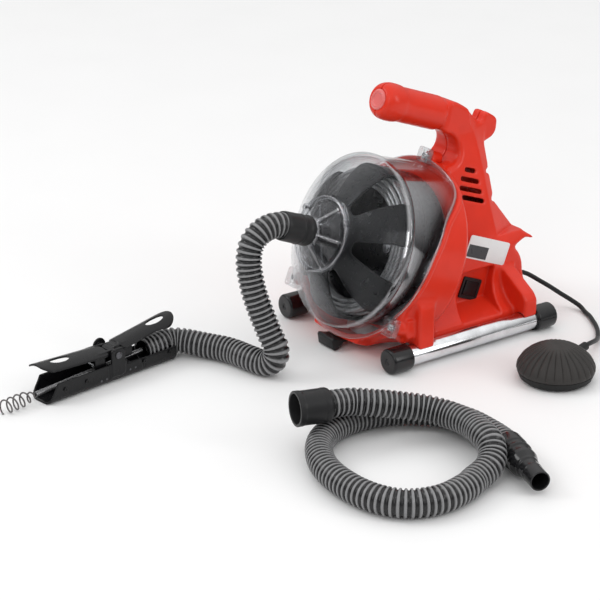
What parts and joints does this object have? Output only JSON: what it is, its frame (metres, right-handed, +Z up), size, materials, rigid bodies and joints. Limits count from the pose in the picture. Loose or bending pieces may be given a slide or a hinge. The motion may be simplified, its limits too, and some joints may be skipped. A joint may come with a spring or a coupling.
{
  "type": "drain snake machine",
  "caption": "Motor-driven drum drain snake on tube legs, with clear shield, guide hose to a two-lever cable feed, foot pedal and spare hose.",
  "frame": {"origin": "on the floor under the middle of the machine and feed device, measured without the loose hoses", "axes": "+Z up; +Y from the feed device's tip to the rear of the machine; +X towards the switch side and the foot pedal"},
  "size_m": [0.5788, 0.7669, 0.33],
  "materials": {
    "red_housing": "semi-gloss moulded",
    "red_gloss": "polished inlay",
    "black_plastic": "moulded, fine grain",
    "black_gloss": "polished",
    "black_rubber": "soft, matte",
    "clear_shield": "clear polycarbonate",
    "steel_screws": "zinc plated",
    "dark_screws": "black oxide",
    "zinc_tube": "bright zinc plate",
    "cap_black": "smooth moulded",
    "plate_white": "printed blank panel",
    "bearing_steel": "ground",
    "drum_black": "satin moulded",
    "cable_steel": "wound wire, oiled",
    "pulley_metal": "turned",
    "motor_case": "semi-gloss",
    "belt_rubber": "ribbed",
    "hose_grey": "corrugated, silver grey ridges",
    "cuff_black": "satin",
    "feed_black": "satin moulded",
    "nozzle_black": "smooth moulded",
    "pedal_rubber": "matte, grooved",
    "air_hose_black": "smooth"
  },
  "bodies": {
    "root": {"drum_housing": "red_housing", "motor_housing_right": "red_housing", "motor_housing_left": "red_housing", "handle_end_cap": "red_gloss", "base_plate": "black_plastic", "front_foot": "black_rubber", "shield": "clear_shield", "nose_hub": "clear_shield", "hub_screws": "steel_screws", "shield_screws": "steel_screws", "leg_tube_right": "zinc_tube", "leg_tube_left": "zinc_tube", "leg_cap_front_right": "cap_black", "leg_cap_front_left": "cap_black", "leg_cap_rear_right": "cap_black", "leg_cap_rear_left": "cap_black", "leg_screws": "steel_screws", "switch_bezel": "black_plastic", "rating_plate": "plate_white", "front_bearing": "bearing_steel", "rear_bearing": "bearing_steel", "motor_plate": "bearing_steel", "motor": "motor_case", "drive_belt": "belt_rubber", "air_switch": "black_plastic", "air_fitting": "black_plastic", "cord_gland": "black_rubber", "housing_screws": "steel_screws", "guide_hose": "hose_grey", "guide_hose_cuff": "cuff_black", "feed_body": "feed_black", "lever_pin": "steel_screws", "lower_rollers": "bearing_steel", "lever_springs": "bearing_steel", "feed_screws": "dark_screws", "pedal_base": "pedal_rubber", "pedal_dome": "pedal_rubber", "pedal_spring": "bearing_steel", "air_hose": "air_hose_black"},
    "drum": {"drum_shaft": "bearing_steel", "drum_front": "drum_black", "drum_back": "drum_black", "drum_screws": "steel_screws", "cable_coil": "cable_steel", "drum_pulley": "pulley_metal"},
    "motor_rotor": {"motor_shaft": "bearing_steel", "motor_pulley": "pulley_metal"},
    "cable_end": {"cable_lead": "cable_steel", "cable_tip": "cable_steel"},
    "rocker": {"rocker_switch": "black_gloss"},
    "advance": {"advance_lever": "feed_black", "advance_rollers": "bearing_steel"},
    "retract": {"retract_lever": "feed_black", "retract_rollers": "bearing_steel"},
    "pedal_top": {"pedal_spring_cup": "black_plastic"},
    "front_guide": {"front_hose": "hose_grey", "front_hose_cuff": "cuff_black", "front_hose_nozzle": "nozzle_black"}
  },
  "joints": [
    {"name": "drum_spin", "type": "hinge", "parent": "root", "child": "drum", "pos_m": [-0.08, 0.104, 0.1365], "axis": [0, -0.9304, 0.3665], "continuous": true},
    {"name": "motor_spin", "type": "hinge", "parent": "root", "child": "motor_rotor", "pos_m": [-0.08, 0.23837, 0.15021], "axis": [0, -0.9304, 0.3665], "continuous": true},
    {"name": "cable_spin", "type": "hinge", "parent": "root", "child": "cable_end", "pos_m": [-0.16943, -0.14561, 0.0195], "axis": [0.139, -0.9891, -0.0488], "continuous": true},
    {"name": "rocker_tilt", "type": "hinge", "parent": "root", "child": "rocker", "pos_m": [-0.0249, 0.25001, 0.05695], "axis": [0, 0.3665, 0.9304], "range_deg": [-12, 12]},
    {"name": "advance_press", "type": "hinge", "parent": "root", "child": "advance", "pos_m": [-0.1622, -0.19711, 0.035], "axis": [0.9903, 0.1392, 0], "range_deg": [0, 5], "stiffness_Nm_per_rad": 4, "springref_deg": -5.73},
    {"name": "retract_press", "type": "hinge", "parent": "root", "child": "retract", "pos_m": [-0.1622, -0.19711, 0.035], "axis": [-0.9903, -0.1392, 0], "range_deg": [0, 4.5], "stiffness_Nm_per_rad": 4, "springref_deg": -5.73},
    {"name": "pedal_press", "type": "slide", "parent": "root", "child": "pedal_top", "axis": [0, 0, -1], "range_m": [0, 0.012], "stiffness_N_per_m": 2500, "springref_m": -0.002, "deforming": ["pedal_dome", "pedal_spring"]},
    {"name": "front_guide_lift", "type": "slide", "parent": "root", "child": "front_guide", "axis": [0, 0, 1], "range_m": [0, 0.3]}
  ],
  "couplings": [
    {"joint": "motor_spin", "follows": "drum_spin", "ratio": 3.32},
    {"joint": "cable_spin", "follows": "drum_spin", "ratio": 1}
  ]
}
